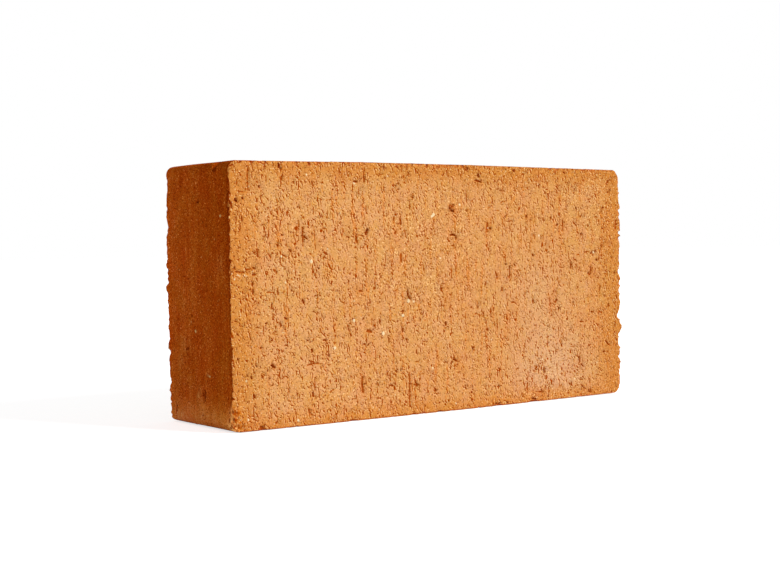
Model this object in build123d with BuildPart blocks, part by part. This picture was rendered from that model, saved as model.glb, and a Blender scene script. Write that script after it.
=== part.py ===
from build123d import *
from math import sqrt
import os

# A solid wire-cut clay brick, in millimetres, standing on one long narrow face.
# Stiff clay leaves the die as a long column and taut wires slice it into bricks. The two bed
# faces are the cuts, and the four faces between them keep the skin and the rounded corners of
# the die. X runs along the length, Y through the thickness and Z up the width. The origin is
# the middle of the face that the brick stands on, and the bed face at -Y is its front.

# The mouth of the die
length = 200.0
width = 100.0
die_corner_radius = 3.5

# The cut: how far apart the wires are, and how much of each sharp arris crumbles off
thickness = 50.0
wire_arris_break = 0.4

# The bruised front foot of the -X end: how far the bruise runs from the corner along each of
# the three edges, and how far outside each face the middle of its hollow lies
bruise_reach = 4.0
bruise_stand_off = 6.0

# Chips out of the front arris of the +X end, lowest first: their places up the width, how
# long each is along the arris, and how deep it bites into the end
arris_chip_height_shares = (0.171, 0.240, 0.345)
arris_chip_lengths = (3.4, 6.0, 4.6)
arris_chip_depths = (1.5, 1.4, 2.0)

# The nick in the rounded top edge of the -X end, and how deep it bites into the rounding
top_nick_thickness_share = -0.30
top_nick_bite = 1.0

# The pit that a dragged grit left in the skin of the -X end, narrowing as it goes in
pit_height = 4.2
pit_width = 2.2
pit_depth = 1.3
pit_wall_angle = 25
pit_thickness_share = -0.07
pit_height_share = 0.125

front = -thickness / 2
back = thickness / 2
near_end = -length / 2
far_end = length / 2

with BuildPart() as brick:
    # The XZ plane faces the front, so the slice is drawn at the back and cut forwards.
    with BuildSketch(Plane.XZ.offset(-back)) as die_mouth:
        with Locations((0, width / 2)):
            RectangleRounded(length, width, die_corner_radius)
    extrude(amount=thickness)
    bed_arrises = brick.faces().filter_by(Axis.Y).edges()
    chamfer(bed_arrises, wire_arris_break)

    bruise_radius = sqrt((bruise_reach + bruise_stand_off) ** 2 + 2 * bruise_stand_off**2)
    with Locations((near_end - bruise_stand_off, front - bruise_stand_off, -bruise_stand_off)):
        Sphere(bruise_radius, mode=Mode.SUBTRACT)

    # Each chip is a hollow with the chip's length as its chord and its depth as its rise. Its
    # ball is tilted, so that no pole of it lies in the plane of the front face.
    for height_share, chip_length, chip_depth in zip(
        arris_chip_height_shares, arris_chip_lengths, arris_chip_depths
    ):
        chip_radius = ((chip_length / 2) ** 2 + chip_depth**2) / (2 * chip_depth)
        with Locations((far_end + chip_radius - chip_depth, front, height_share * width)):
            Sphere(chip_radius, rotation=(45, 0, 0), mode=Mode.SUBTRACT)

    # The ball that makes the nick is centred on the sharp edge that the rounding took off.
    top_nick_radius = die_corner_radius * (sqrt(2) - 1) + top_nick_bite
    with Locations((near_end, top_nick_thickness_share * thickness, width)):
        Sphere(top_nick_radius, mode=Mode.SUBTRACT)

    with BuildSketch(Plane.YZ.offset(near_end)) as pit_mouth:
        with Locations((pit_thickness_share * thickness, pit_height_share * width)):
            SlotOverall(pit_height, pit_width, rotation=90)
    extrude(amount=pit_depth, taper=pit_wall_angle, mode=Mode.SUBTRACT)

brick.part.label = "brick"

os.makedirs("parts", exist_ok=True)
export_step(brick.part, "parts/brick.step")
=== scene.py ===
"""Finish of a solid wire-cut clay brick that stands on one long narrow face.

The whole brick is one closed skin. Its outline comes from the solid model, its relief from
random fields and from listed marks, and one procedural material colours it.
Lengths in the property groups are in metres, as the scene's are. The functions that shape the
skin work in millimetres, because clay marks are easier to read that way.
"""

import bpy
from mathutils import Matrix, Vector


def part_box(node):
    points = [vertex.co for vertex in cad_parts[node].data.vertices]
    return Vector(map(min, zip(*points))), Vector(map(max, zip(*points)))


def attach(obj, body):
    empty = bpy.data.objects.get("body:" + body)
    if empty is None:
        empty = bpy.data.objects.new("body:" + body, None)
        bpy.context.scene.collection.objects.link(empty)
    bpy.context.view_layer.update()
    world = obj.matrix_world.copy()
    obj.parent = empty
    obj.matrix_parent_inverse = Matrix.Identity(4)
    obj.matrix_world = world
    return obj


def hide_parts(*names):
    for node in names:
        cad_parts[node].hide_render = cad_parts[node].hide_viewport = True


bl_info = {
    "name": "Wire-cut clay brick",
    "version": (1, 0, 0),
    "blender": (4, 5, 0),
    "location": "View3D > Sidebar > Brick",
    "description": "Dresses a clay brick in cut faces, die skin, chipped arrises and fired colours",
    "category": "Object",
}

import math
from types import SimpleNamespace

import bpy
import numpy as np
from bpy.props import FloatProperty, FloatVectorProperty, IntProperty, PointerProperty
from mathutils import Matrix, Vector

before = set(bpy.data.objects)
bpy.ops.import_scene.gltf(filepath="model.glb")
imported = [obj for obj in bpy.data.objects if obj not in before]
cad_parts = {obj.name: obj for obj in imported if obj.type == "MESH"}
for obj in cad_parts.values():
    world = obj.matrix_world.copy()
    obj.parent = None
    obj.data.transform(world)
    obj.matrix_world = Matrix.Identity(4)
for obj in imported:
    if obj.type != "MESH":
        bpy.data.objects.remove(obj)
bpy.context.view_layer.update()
NODE = "brick"
BODY = "root"
PIECE = "fired_clay_brick"

MM = 0.001
LOW, HIGH = (np.array(corner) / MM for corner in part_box(NODE))
LENGTH, THICKNESS, WIDTH = HIGH - LOW
HALF_LENGTH, HALF_THICKNESS, HALF_WIDTH = LENGTH / 2, THICKNESS / 2, WIDTH / 2


# Marks on the front cut face, in millimetres: x and z of the middle, length, width, lean in
# degrees (0 is upright, positive leans its top towards -X) and depth. Furrows are straight, and
# the bend of a tear follows from its length and lean.
FURROWS = (
    (-91.8, 92.8, 11, 0.6, 2, 0.4), (-96.5, 91.5, 5, 0.5, 2, 0.3), (-70, 75.5, 5, 0.6, 0, 0.35),
    (-68, 71, 8.5, 0.7, 2, 0.6), (-62.6, 70.5, 8.5, 0.6, 4, 0.3), (-88, 65.8, 4, 0.8, 5, 0.55),
    (-90.3, 53, 4.6, 0.9, 0, 0.55), (-64, 58.8, 4.5, 0.6, 0, 0.35), (-39.3, 95, 6, 0.8, 2, 0.45),
    (-38.6, 82, 4, 0.6, 5, 0.35), (-22.2, 77.5, 4.8, 1.1, 0, 0.35), (-17.2, 83.5, 5, 0.8, -5, 0.35),
    (-22, 62.5, 4.5, 1.1, 0, 0.35), (-47.3, 35, 5, 0.7, 20, 0.4), (-28, 16.5, 5, 0.7, 0, 0.45),
    (-41.5, 14, 8.5, 1.2, 3, 0.4), (-18.5, 10, 16, 0.9, 0, 0.4), (-35, 24.5, 6, 0.5, 0, 0.25),
    (12, 87.5, 6, 0.6, 3, 0.4), (32, 90.5, 7, 0.5, 0, 0.3), (22.8, 74.5, 5, 1.3, 0, 0.35),
    (35.2, 55.8, 6, 1, 0, 0.6), (3.5, 56, 5, 1, 0, 0.3), (24.4, 39.5, 3.5, 0.6, 0, 0.35),
    (44.5, 6.5, 4.5, 1, 0, 0.35), (65.7, 74.5, 7.5, 1, 2, 0.6), (87.5, 46, 9, 0.7, 0, 0.35),
    (90.4, 74.2, 5, 0.6, 0, 0.4), (97.6, 75.5, 5, 1, 0, 0.4), (56.2, 26, 4.5, 0.6, 0, 0.35),
    (57.8, 42.5, 4, 0.8, 0, 0.35), (78, 30.5, 3, 0.6, 0, 0.35),
)
TEARS = (
    (-78, 98, 2.6, 0.9, 30, 0.8), (-98, 60.5, 1.6, 0.9, 10, 0.7), (-89.9, 60.4, 1.7, 0.8, 75, 0.6),
    (-79.4, 51.6, 3.2, 0.8, 5, 0.6), (-80.2, 58.9, 3.4, 0.7, 12, 0.35),
    (-77, 93.5, 2.4, 1.4, 0, 0.4), (-97, 85.5, 1.7, 1, 30, 0.8), (-94, 86, 1.4, 0.9, 30, 0.7),
    (-87, 90.4, 1.8, 0.7, 30, 0.6), (-94.5, 78.5, 2.6, 0.8, 10, 0.6),
    (-66.5, 71.2, 2.6, 0.8, 45, 0.7), (-77.2, 72.3, 1.3, 0.8, 70, 0.6),
    (-73.8, 66.5, 2, 0.7, 50, 0.6), (-79.5, 68.8, 2.6, 0.8, 60, 0.6),
    (-57.6, 65.3, 1.6, 0.9, -20, 0.7), (-58.6, 63.7, 1.7, 0.7, -20, 0.5),
    (-61, 59.4, 1.4, 0.8, 50, 0.7), (-83, 51.1, 5, 0.6, 88, 0.4), (-68.3, 47.3, 2.4, 0.9, 30, 0.7),
    (-76, 41.1, 2.6, 0.8, 70, 0.7), (-78.7, 39, 2.4, 0.7, 10, 0.5), (-82.3, 46, 2.6, 0.9, -10, 0.5),
    (-66.8, 32.5, 1.5, 0.8, 50, 0.7), (-58.6, 32, 2.2, 1, 80, 0.8), (-82.3, 23.6, 2.8, 1, 55, 0.9),
    (-64.7, 28.3, 1.8, 1, 10, 0.7), (-57, 26.4, 2.6, 0.9, 15, 0.6), (-64, 23.2, 8, 0.6, 92, 0.4),
    (-55.5, 12.8, 5, 0.6, -58, 0.4), (-64.5, 11.6, 2.2, 1, 20, 0.6), (-60, 8, 1.6, 0.7, 50, 0.5),
    (-66.5, 5.5, 3, 0.8, 5, 0.5), (-90.5, 12.8, 2.2, 0.7, 35, 0.6), (-87.8, 1.2, 1.9, 0.9, 88, 0.7),
    (-43.3, 92.5, 2.2, 0.8, 90, 0.7), (-38.5, 73.3, 3.3, 1.2, -22, 1.1),
    (-42, 71.8, 4.2, 0.7, 84, 0.4), (-43.5, 70.4, 3.6, 0.8, 5, 0.4),
    (-47.3, 71.2, 2.2, 0.7, 66, 0.6), (-24.5, 73, 2.6, 1, -50, 0.4), (-16, 86.7, 1.8, 0.8, 70, 0.6),
    (-18.5, 47.9, 4.2, 1.3, 27, 1.3), (-21.8, 41.5, 2.6, 0.8, 90, 0.8),
    (-32.8, 38.2, 2.8, 0.9, 3, 0.8), (-38, 34.5, 3, 1.2, 78, 0.5), (-41.7, 50.3, 2.6, 1, 84, 0.5),
    (-31.5, 49.3, 2, 0.6, -25, 0.4), (-21.8, 34.5, 3, 0.7, 12, 0.6), (-19.6, 29.9, 2, 0.9, 35, 0.8),
    (-27.4, 12.5, 2.6, 0.9, 75, 0.5), (-24.8, 18, 1.7, 0.9, 30, 0.7),
    (-15, 12.5, 2.6, 1.4, 20, 0.6), (-24, 91, 1.1, 0.8, 20, 0.6), (-2, 50, 3, 0.9, 0, 0.5),
    (3.2, 82.6, 2.6, 1, 30, 0.9), (4.4, 81.3, 2.4, 0.9, 80, 0.8), (4.9, 83.4, 1.8, 0.7, -40, 0.6),
    (4.4, 71.5, 3.6, 0.9, 87, 0.9), (6.2, 70.6, 1.6, 0.8, 40, 0.7), (4.5, 67.2, 1.8, 0.6, 85, 0.5),
    (12, 81.3, 1.7, 0.7, 30, 0.6), (19, 93.4, 5.2, 0.9, 78, 0.8), (18.7, 95.7, 1.9, 0.9, 60, 0.8),
    (12.8, 98.7, 1.8, 0.9, 40, 0.7), (38, 98.2, 1.8, 0.9, 60, 0.8), (24.8, 74.1, 1.6, 1.1, 70, 0.9),
    (28, 54.3, 3, 1.2, 15, 0.5), (30.8, 48.5, 2.1, 1, 5, 0.7), (37, 43, 2.6, 0.7, 80, 0.5),
    (48.1, 43, 2.6, 1, 0, 0.6), (48.5, 62.8, 1.8, 1, 60, 0.8), (44.8, 79, 1.7, 0.9, -30, 0.7),
    (16.3, 39, 1.7, 0.8, -50, 0.6), (22.7, 32.3, 1.5, 0.9, 40, 0.6), (5, 20.7, 3.2, 0.9, 70, 0.7),
    (3, 19.6, 2.2, 0.8, -30, 0.5), (0.3, 35.8, 2, 1, 0, 0.8), (29, 15.5, 2, 0.9, 60, 0.6),
    (28.5, 8.2, 2.2, 0.9, 90, 0.7), (10.4, 8.8, 1.7, 0.8, 30, 0.7), (13.6, 6.8, 1.3, 0.9, 60, 0.7),
    (27.5, 0.9, 3.6, 1, 88, 0.9), (48.3, 1.3, 3, 0.9, 82, 0.8), (54.3, 13.2, 3, 1.3, 15, 1.1),
    (74.9, 16.5, 2.9, 1.1, 15, 1), (62.5, 75.6, 1.9, 0.8, -50, 0.7), (58.8, 78.3, 1.7, 1, 0, 0.7),
    (70.3, 57.9, 3.3, 1, 0, 1), (82.8, 63.2, 1.4, 1.1, 0, 0.9), (85, 63.5, 1.4, 0.9, 30, 0.8),
    (86.1, 60, 1.7, 0.9, 88, 0.7), (82.5, 56.2, 3.6, 1.2, -10, 0.6),
    (81.5, 53.8, 2.2, 1.1, 60, 0.6), (89.6, 82.9, 2, 0.9, -45, 0.7),
    (92.8, 94.3, 2.9, 0.9, -30, 0.7), (93.1, 90, 1.1, 0.8, 0, 0.6), (52.3, 92.2, 1.3, 0.9, 10, 0.7),
    (73.7, 82.6, 1.9, 0.9, 30, 0.7), (76.5, 79.1, 1.3, 0.9, 0, 0.6),
    (76.8, 71.4, 1.4, 1.1, 10, 0.7), (73.5, 75.5, 3.6, 0.6, 55, 0.4), (62.8, 39, 2.1, 1, 0, 0.8),
    (97, 53.8, 1.5, 1.1, 0, 0.8), (93, 39.5, 3, 1, 10, 0.5), (92.6, 22.4, 4.6, 0.7, 50, 0.5),
    (89.8, 19, 1.4, 1.1, 0, 0.8), (77.3, 4.2, 4, 0.8, 50, 0.7), (81, 1.9, 2.6, 0.9, 52, 0.8),
    (51.5, 4.1, 5, 0.8, 83, 0.6), (56.7, 5, 3, 0.7, 0, 0.5), (76.5, 33, 2.4, 0.6, 84, 0.5),
)
# Tears whose bend is their own, in 1/mm, before the depth.
BENT_TEARS = (
    (-94, 88.4, 4.4, 0.6, 84, 0, 0.35), (-96.6, 59.1, 2.6, 0.7, 78, 0, 0.55),
    (-94.3, 58.9, 1.8, 0.8, 90, 0, 0.6), (-91.9, 59.9, 3.4, 0.6, 100, -0.12, 0.5),
    (-89.3, 58, 2.8, 0.9, 92, 0, 0.7), (-82.9, 64.9, 3, 0.9, 30, 0, 0.45),
    (-76.4, 64.6, 2.6, 0.8, 60, 0, 0.5),
)
# Bends of tears, in 1/mm: of those that lie across the wire's way, in three lengths, and of the
# slanting ones.
TEAR_BENDS = (-0.35, -0.25, -0.06, 0.12)
# The depths above were judged, and every one of them is deepened by this factor.
HAND_DEPTH = 1.1

# Pale grains of grog and quartz on the same face: x, z and radius.
PALE_GRAINS = (
    (-64.5, 62.2, 0.85), (-71.6, 2.4, 0.8), (-93.5, 4.3, 0.6), (-54.5, 28.9, 0.85),
    (-77.8, 64.4, 0.55), (-57, 66.8, 0.5), (-76.2, 54.7, 0.5), (-66, 95, 0.5), (-94, 18.8, 0.5),
    (-18.9, 45.6, 0.85), (-16.2, 45.4, 0.55), (-21.6, 40, 0.9), (-5.4, 79.8, 0.8),
    (-6.4, 79.2, 0.65), (-2.2, 62.3, 0.6), (-45, 39, 0.8), (-31.3, 33.4, 0.8), (-29.9, 24.8, 0.4),
    (-6.8, 18.2, 0.6), (-44.1, 91.9, 0.6), (-21.5, 57.3, 0.4), (-27.9, 95, 0.5), (5, 3.1, 0.6),
    (24.4, 28, 0.5), (8.2, 83.8, 0.6), (51.8, 71, 0.6), (83.9, 63.3, 0.6), (53, 18, 0.55),
    (71.8, 8.2, 0.45), (78.5, 75.7, 0.45), (-96.7, 57.9, 0.5), (-95.8, 57.6, 0.45),
    (-93.9, 57.8, 0.45), (-93, 57.5, 0.4), (-98.2, 56.5, 0.5), (-90.3, 59.2, 0.45),
    (-99.3, 58.6, 0.45), (-76.1, 54.4, 0.4),
)
# Orange stains round the deeper tears of that face: x, z, half width, half height and strength.
STAINS = (
    (23.2, 74.4, 1.8, 4.6, 0.85), (4.8, 81.4, 2.2, 3.6, 0.8), (4.2, 74.6, 1.8, 4, 0.5),
    (5.6, 69, 2.2, 2.4, 0.6), (19, 92, 3.4, 2.4, 0.6), (39, 93, 5, 3.4, 0.5),
    (82.6, 55.2, 1.7, 5, 0.8), (83.5, 45, 1.5, 5, 0.5), (28.4, 54.4, 1.6, 3, 0.8),
    (46.3, 78.5, 3, 2.6, 0.6), (0.9, 49, 1.6, 7.5, 0.65), (8, 52.5, 2.6, 2.8, 0.5),
    (75.1, 16.9, 2, 3.2, 0.6), (47.8, 3.6, 9, 3.2, 0.75), (28, 2.4, 5, 2.4, 0.6),
    (58.6, 42.8, 2, 3.6, 0.6), (38.6, 42, 1.8, 4.2, 0.55), (50.3, 62, 1.8, 2.2, 0.5),
    (66, 74.5, 1.8, 4.4, 0.55), (7, 18.5, 2.4, 4.2, 0.6), (-79.2, 71.6, 2.6, 3.4, 0.75),
    (-72.7, 63.6, 2.2, 5, 0.65), (-23.7, 73.7, 2, 5.4, 0.65), (-22, 61, 1.7, 4.4, 0.65),
    (-52, 95.2, 2.6, 2.2, 0.6), (-65.8, 92, 3, 2.6, 0.6), (-77.5, 95.4, 3, 4.4, 0.55),
    (-42.6, 49.7, 2.4, 3.2, 0.6), (-90.2, 52.4, 1.4, 4, 0.75), (-98, 58.2, 2.4, 2.8, 0.65),
    (-88, 64, 1.8, 3.6, 0.45), (-41.5, 14, 1.9, 6.5, 0.65), (-18, 11, 1.9, 8, 0.6),
    (-28, 15, 2.4, 4.4, 0.45), (-93, 3, 7, 3.6, 0.55),
)
# Marks on the header that shows, at -X: y, z, length, width, lean, bend and depth.
HEADER_PITS = (
    (-3.4, 12.4, 5.4, 2.8, 4, 0, 1.6), (-1, 85.4, 2.6, 1.5, 60, 0.5, 1.1),
    (-7.5, 76.5, 1.2, 0.8, 30, 0, 0.7), (5.5, 42.4, 1.8, 1, -40, 0, 0.8),
    (7.4, 41, 1.2, 0.8, 20, 0, 0.7), (4, 40.2, 1.2, 0.8, 60, 0, 0.6),
    (9.5, 29.5, 3.6, 1.1, 70, 0, 0.6), (13, 27, 2.2, 1, 20, 0, 0.6),
    (19.6, 4.6, 5.4, 1.7, 10, 0, 1.3), (-2, 4.4, 2, 0.9, 50, 0, 0.7),
    (0.5, 2.2, 1.6, 0.9, 10, 0, 0.7),
)
# Grains on the same header: y, z and radius.
HEADER_GRAINS = (
    (-18.9, 79.8, 0.72), (5.8, 39.8, 0.62), (2.3, 36.4, 0.72), (-8.5, 19.8, 0.62),
    (-11, 19.6, 0.45), (-14, 71.3, 0.4), (-3.6, 64.7, 0.45), (-15.5, 46.8, 0.4), (19, 56, 0.45),
)
# Low swellings on it, whose skin is scuffed: y, z, radius and height.
HEADER_SWELLINGS = (
    (-0.4, 12.2, 3, 0.65), (9.5, 30.5, 4.5, 0.3), (14, 24, 3.5, 0.25), (-18, 62, 5, 0.2),
)
# How far two upright arrises stray outwards: turning points of their outline, as height up the
# arris and how far out it stands there.
FRONT_FAR_ARRIS = (
    (0, -0.2), (5, 0), (7, -0.1), (9, 0.4), (12, 0.6), (14.8, 0.6), (16.6, -0.2), (18.4, 0.8),
    (20, 0.6), (23, -0.5), (25.6, 0.1), (27.2, 0.9), (29, 1.15), (31.6, 1.15), (33.2, 0.7),
    (34.2, -0.4), (35.6, -0.8), (37, -0.3), (38.6, 0.5), (40, 0.7), (43, 0.7), (45, 0.4),
    (47, 0.65), (51.5, 0.7), (53.3, 0.3), (56, 0.4), (59, 0.2), (61.5, 0.25), (63, 0.7),
    (64.3, 0.8), (66, 0.35), (67.4, 0.3), (69, 0.75), (72, 0.7), (76, 0.6), (78.6, 0.3), (82, 0.6),
    (85, 0.6), (87.5, 0.25), (91, 0.35), (93, 0.1), (95, -0.15), (100, -0.4),
)
BACK_NEAR_ARRIS = (
    (0, 0.35), (3, -0.05), (9, 0.05), (12.2, 0.55), (13.6, 0.15), (15.4, -0.45), (17, -0.05),
    (21, 0.25), (24, 0.25), (26.5, -0.05), (29, 0.6), (30.4, 0.45), (32, -0.05), (34.5, -0.05),
    (36.6, 0.4), (40.5, 0.35), (43, 0.55), (45, 0.55), (47, 0.35), (49, 0.75), (53, 0.85),
    (54.6, 0.2), (58.5, 0.2), (60.3, 0.45), (62, 0.8), (63.6, 0.45), (68.3, 0.15), (70.5, 0.6),
    (73.2, 0.65), (74.3, 0.05), (76.3, -0.55), (77.8, -0.25), (80.5, 0.25), (84, 0.15), (89, -0.1),
    (90.6, -0.45), (92.4, -0.45), (94, -0.15), (100, 0.05),
)
# Chips knocked out of the skin, which show the clay inside: the middle of each hollow,
# and its reach along X, Y and Z.
CHIPS = (
    ((100.3, -25.4, 35.2), (1.9, 2.6, 1.7)), ((100.4, -25.3, 23.2), (1.5, 2.8, 2.2)),
    ((100.5, -25.5, 16.7), (1.7, 2, 1)), ((100.9, -25.6, 3.2), (1.8, 2, 1.6)),
    ((-101.2, -26.4, -0.8), (4.2, 4.2, 3.6)), ((-101.2, -26.6, 5), (2.2, 3.4, 2.2)),
    ((-101.4, -23.4, 1.4), (2.2, 2, 1.6)), ((-98.4, -26.2, 2.6), (2, 1.8, 1.5)),
    ((-96.4, -26, 0.2), (1.6, 1.5, 1.4)), ((-100.7, -26.2, 8.4), (1.5, 2.2, 1.6)),
    ((-100.7, -25.6, 59.6), (1.5, 1.5, 1.4)), ((-100.6, -25.6, 52.5), (1.2, 1.3, 2)),
    ((-100.6, -25.6, 84.3), (1.3, 1.4, 1.5)), ((-100.6, -25.6, 70.2), (1.2, 1.3, 1.7)),
    ((-100.5, -25.5, 28.5), (1.2, 1.2, 1.8)),
)
# The nick in the top edge and bites out of the foot, whose insides are painted dark as shade, in
# the same order.
BITES = (
    ((-100.2, -14.4, 101), (4, 2, 4.2)), ((-87, -25.9, -0.3), (2.2, 1.8, 1.7)),
    ((-46, -25.8, -0.4), (3.2, 1.8, 1.5)), ((-16.5, -25.8, -0.3), (1.8, 1.8, 1.6)),
    ((-3, -25.9, -0.4), (2.4, 1.9, 1.5)), ((28, -25.8, -0.4), (3.6, 1.8, 1.8)),
    ((48, -25.8, -0.4), (4.4, 1.9, 1.9)),
)
# The bruised corner at the foot of the -X end, broken into small lumps with shade painted in
# the troughs between them: its middle and reach, the size of a lump, and how far the lumps move
# points along X, Y and Z.
RUBBLE_MIDDLE = (-100, -25, 3.6)
RUBBLE_REACH = (6, 5, 8.6)
LUMP_SIZE = 0.42
LUMP_HEIGHT = 0.26
LUMP_PUSH = (-0.6, -0.6, 0)

# Kinds of marks that a wire drags in stiff clay: share; length, shortest and longest; width,
# thinnest and widest; lean and its spread; bend and its spread; depth, least and most.
CUT_KINDS = (
    (0.34, 1.4, 5.5, 0.34, 0.56, 3, 6, 0, 0.05, 0.2, 0.6),
    (0.29, 0.9, 2.6, 0.36, 0.66, 38, 14, 0, 0.25, 0.3, 0.9),
    (0.22, 1, 3.2, 0.34, 0.56, 88, 15, -0.3, 0.25, 0.3, 0.8),
    (0.08, 0.9, 2.2, 0.34, 0.6, -42, 15, 0, 0.25, 0.3, 0.8),
    (0.07, 0.7, 1.2, 0.6, 1, 20, 40, 0, 0.05, 0.45, 1.05),
)
# Open pores and scuffs of the die-formed skin, in the same order.
SKIN_KINDS = (
    (0.55, 0.5, 1.3, 0.45, 0.95, 20, 50, 0, 0.05, 0.2, 0.6),
    (0.3, 1.2, 4, 0.45, 0.75, 90, 12, 0, 0.05, 0.1, 0.25),
    (0.15, 1, 3, 0.45, 0.9, 30, 40, 0, 0.2, 0.15, 0.4),
)
# The longer, wider or deeper a mark is, the rarer it is: this power bends the even draw.
RARITY = 1.8

# How a mark meets the face round it: how far the random field moves its edge, in its own
# radius, the width and height of the lip beside it, and how strongly the lip is painted as a
# highlight against its height.
EDGE_ROUGHNESS = 0.22
LIP_WIDTH = 0.3
LIP_HEIGHT = 0.3
LIP_HIGHLIGHT = 3
# The same for the edge of a grain, and the radius from which a grain stands up fully.
GRAIN_ROUGHNESS = 0.15
FULL_GRAIN = 0.75
# How many marks are drawn on the back for each one on the front, which has its own listed ones as
# well.
BACK_SHARE = 1.15
# A swelling has all but faded out at its radius, which is this many times its Gaussian's reach.
# Its skin is scuffed by this factor on its height.
SWELLING_REACH = 1.4
SCUFFING = 1.4

# Heights in the relief: a pale grain of each kind of face, and the die's lines and blisters.
CUT_GRAIN_HEIGHT = 0.22
SKIN_GRAIN_HEIGHT = 0.2
DIE_LINE_HEIGHT = 0.01
BLISTER_HEIGHT = 0.06

# Arrises: how far from one the relief is full, how fast the straying of an upright one fades
# inwards and what is left of it at the trimmed arris, and how much the corners of the outline
# stand out at the foot of the -X end and all along the +X end.
RELIEF_FADE = 0.9
STRAY_FADE = 1.9
STRAY_LEFT = 0.81
NEAR_FOOT_FULLNESS = 0.10
FAR_END_FULLNESS = -0.35

# Shares of the foot's rise that its -X and its +X end take.
NEAR_RISE = 0.8
FAR_RISE = 1.2

# Layers of the die-formed skin lie this many times as far apart as the points of a cut face.
LAYER_SPACING = 1.2

# The map: the die-formed skin reaches this far round an arris where it faces sideways by this
# much, and each side of the block fills this share of its strip.
ARRIS_BAND = 1.2
SIDEWAYS = 1.6
STRIP_FILL = 0.992

# Two paler blooms on the front face, in metres: the middle of each, how far it reaches, where
# it starts to fade, and how strong it is.
BLOOMS = (
    ((0.058, -HALF_THICKNESS * MM, 0.013), 0.034, 0.004, 0.95),
    ((0.050, -HALF_THICKNESS * MM, 0.046), 0.030, 0.0, 0.45),
)

# Noises of the clay's colour: cell size along X, Y and Z in millimetres, detail, lean in
# degrees, roughness and curl.
NOISES = {
    "patches": ((5.0, 5.0, 6.5), 2, 0, 0.5, 0),
    "streaks": ((1.6, 1.6, 15.0), 2, 0, 0.5, 0),
    "threads": ((0.7, 0.7, 6.0), 1, 0, 0.5, 0),
    "mottle": ((1.4, 1.4, 1.8), 2, 20, 0.5, 0),
    "sand": ((0.48, 0.48, 0.62), 2, 10, 0.7, 0),
    "dashes": ((0.52, 0.6, 1.9), 0, 5, 0.5, 0.3),
    "slants": ((0.52, 0.6, 1.2), 0, 38, 0.5, 0.8),
    "curls": ((1.5, 1.5, 1.3), 1, 20, 0.5, 0),
    "flecks": ((0.5, 0.5, 0.6), 0, 0, 0.5, 0),
    "specks": ((0.9, 0.9, 0.9), 0, 0, 0.5, 0),
    "blotches": ((10.0, 10.0, 14.0), 3, 0, 0.5, 0),
    "hues": ((7.5, 7.5, 10.5), 2, 0, 0.5, 0),
}
# The painted highlight on a fine mark's lip lies this far beside it.
BESIDE = (0.36 * MM, 0.0, 0.36 * MM)

# Where dashes and slants count as a fine mark, as the stain round it, as the painted highlight
# on its lip, and as the deeper orange round both: a ramp's start, end and, where it isn't 1, its
# strength.
FINE_MARKS = ((0.728, 0.744), (0.718, 0.734))
FINE_STAINS = ((0.665, 0.735, 0, 0.72), (0.655, 0.725, 0, 0.72))
FINE_HIGHLIGHTS = ((0.737, 0.775, 0, 0.62), (0.722, 0.760, 0, 0.70))
FINE_HALOS = ((0.600, 0.700), (0.590, 0.690))

# Shares of the two noises that gather the fine marks, and their mean, which is taken out.
STREAK_SHARE = 0.32
PATCH_SHARE = 0.20
DRAG_MEAN = 0.260

# Powers that turn a tone of red into the tones of green and blue, for the cut faces, the
# skin of the -X end, deeper partly as painted shade, and the plain skin, and the most that the skin
# is lightened.
CUT_POWERS = (1.5, 2.4)
END_SKIN_POWERS = (2.1, 4.5)
PLAIN_POWERS = (1.5, 2.2)
MOST_LIGHT = 2.0

# Bump of the clay's finest grain.
BUMP_STRENGTH = 0.8
BUMP_DISTANCE = 0.35 * MM

# The floor: half its side, and where and how far lens and mirror see it lifted to white.
FLOOR_REACH = 6.0
LIFT_FROM, LIFT_TO = 0.25, 0.9
LEAST_LIFT, MOST_LIFT = 0.72, 1.0


def ease(low, high, value):
    """0 below low, 1 above high, and 3t^2 - 2t^3 between them."""
    t = np.clip((value - low) / (high - low), 0, 1)
    return t * t * (3 - 2 * t)


def field(shape, spacing, reach, seed, lean=0.0):
    """A random field with mean 0 and spread 1.

    White noise, blurred by a Gaussian of the given reach down and across. The blur is a
    multiplication of its waves by exp(-2 pi^2 (fd^2 + fa^2)), where fd and fa are a wave's
    frequency times the reach, on axes turned by the lean in degrees.
    """
    waves = np.fft.rfft2(np.random.default_rng(seed).standard_normal(shape))
    down = np.fft.fftfreq(shape[0], spacing[0])[:, None]
    across = np.fft.rfftfreq(shape[1], spacing[1])[None, :]
    turn = math.radians(lean)
    along = (down * math.cos(turn) - across * math.sin(turn)) * reach[0]
    over = (across * math.cos(turn) + down * math.sin(turn)) * reach[1]
    grey = np.fft.irfft2(waves * np.exp(-2 * math.pi**2 * (along**2 + over**2)), s=shape)
    return (grey - grey.mean()) / grey.std()


def outline(x, z, corner):
    """Distance inside the die's outline, and its outward direction.

    With q the distance past the inner rectangle, whose corners are the centres of the round
    ones, a point lies corner - |max(q, 0)| - min(max(qx, qz), 0) inside the outline.
    """
    qx = np.abs(x) - (HALF_LENGTH - corner)
    qz = np.abs(z - HALF_WIDTH) - (HALF_WIDTH - corner)
    round_part = np.hypot(np.maximum(qx, 0), np.maximum(qz, 0))
    inside = corner - round_part - np.minimum(np.maximum(qx, qz), 0)
    in_corner = (qx > 0) & (qz > 0)
    nx = np.where(in_corner, qx / np.maximum(round_part, 1e-9), qx >= qz) * np.sign(x)
    nz = np.where(in_corner, qz / np.maximum(round_part, 1e-9), qx < qz) * np.sign(z - HALF_WIDTH)
    return inside, nx, nz


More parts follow.
